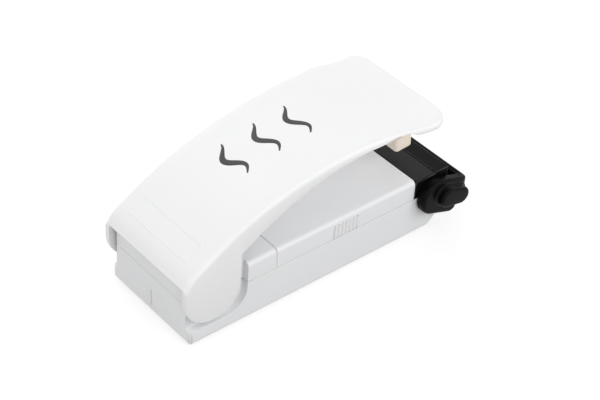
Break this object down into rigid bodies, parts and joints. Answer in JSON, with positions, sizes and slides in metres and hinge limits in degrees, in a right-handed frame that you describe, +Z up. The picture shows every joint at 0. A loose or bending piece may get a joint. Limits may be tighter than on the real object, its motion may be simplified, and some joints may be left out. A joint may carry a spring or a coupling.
{
  "type": "handheld heat sealer",
  "caption": "Palm-sized bag heat sealer: a curved press lever with a silicone pad over a heated jaw, a lift-off battery cover and a swing-up jaw guard.",
  "frame": {"origin": "centre of the flat base of the body, which lies on the plane Z = 0", "axes": "+X from the lever's hinge end to the jaw end, +Z up, +Y to the side away from the picture's viewer"},
  "size_m": [0.1077, 0.05, 0.0448],
  "materials": {
    "white_plastic": "satin white ABS",
    "black_plastic": "satin black ABS",
    "film": "dark non-stick film",
    "silicone": "matte cream silicone",
    "nichrome": "dull resistance ribbon",
    "steel": "bright zinc plated",
    "brass": "plain",
    "cell_jacket": "printed sleeve, left plain",
    "red_sleeve": "PVC sleeve",
    "black_sleeve": "PVC sleeve"
  },
  "bodies": {
    "base": {"lower_shell": "white_plastic", "rear_cap": "white_plastic", "heater_head": "black_plastic", "heater_film": "film", "heating_ribbon": "nichrome", "lever_return_spring": "steel", "battery_spring_1": "steel", "battery_spring_2": "steel", "leaf_screw_upper": "steel", "leaf_screw_lower": "steel", "housing_screw_1": "steel", "housing_screw_2": "steel", "housing_screw_3": "steel", "housing_screw_4": "steel", "ribbon_terminal_1": "brass", "ribbon_terminal_2": "brass", "negative_contact": "brass", "positive_contact": "brass", "bridge_contact": "brass", "switch_leaf_lower": "brass", "battery_cell_1": "cell_jacket", "battery_cell_2": "cell_jacket", "lead_positive": "red_sleeve", "lead_switch": "black_sleeve", "lead_return": "black_sleeve"},
    "lever": {"press_lever": "white_plastic", "pad_carrier": "white_plastic", "silicone_pad": "silicone", "carrier_screw_1": "steel", "carrier_screw_2": "steel"},
    "guard": {"safety_guard": "black_plastic"},
    "cover": {"battery_cover": "white_plastic"},
    "leaf": {"switch_leaf_upper": "brass"}
  },
  "joints": [
    {"name": "lever_press", "type": "hinge", "parent": "base", "child": "lever", "pos_m": [-0.0415, 0, 0.0139], "axis": [0, 1, 0], "range_deg": [0, 3.75], "stiffness_Nm_per_rad": 0.15, "springref_deg": -14.32, "deforming": ["lever_return_spring"]},
    {"name": "leaf_press", "type": "hinge", "parent": "base", "child": "leaf", "pos_m": [-0.0357, 0, 0.0164], "axis": [0, 1, 0], "range_deg": [0, 5.6]},
    {"name": "guard_swing", "type": "hinge", "parent": "base", "child": "guard", "pos_m": [0.0428, 0, 0.0139], "axis": [0, -1, 0], "range_deg": [0, 55]},
    {"name": "cover_lift", "type": "slide", "parent": "base", "child": "cover", "axis": [0, 0, 1], "range_m": [0, 0.005]}
  ],
  "couplings": [
    {"joint": "leaf_press", "follows": "lever_press", "ratio": 1.464}
  ]
}
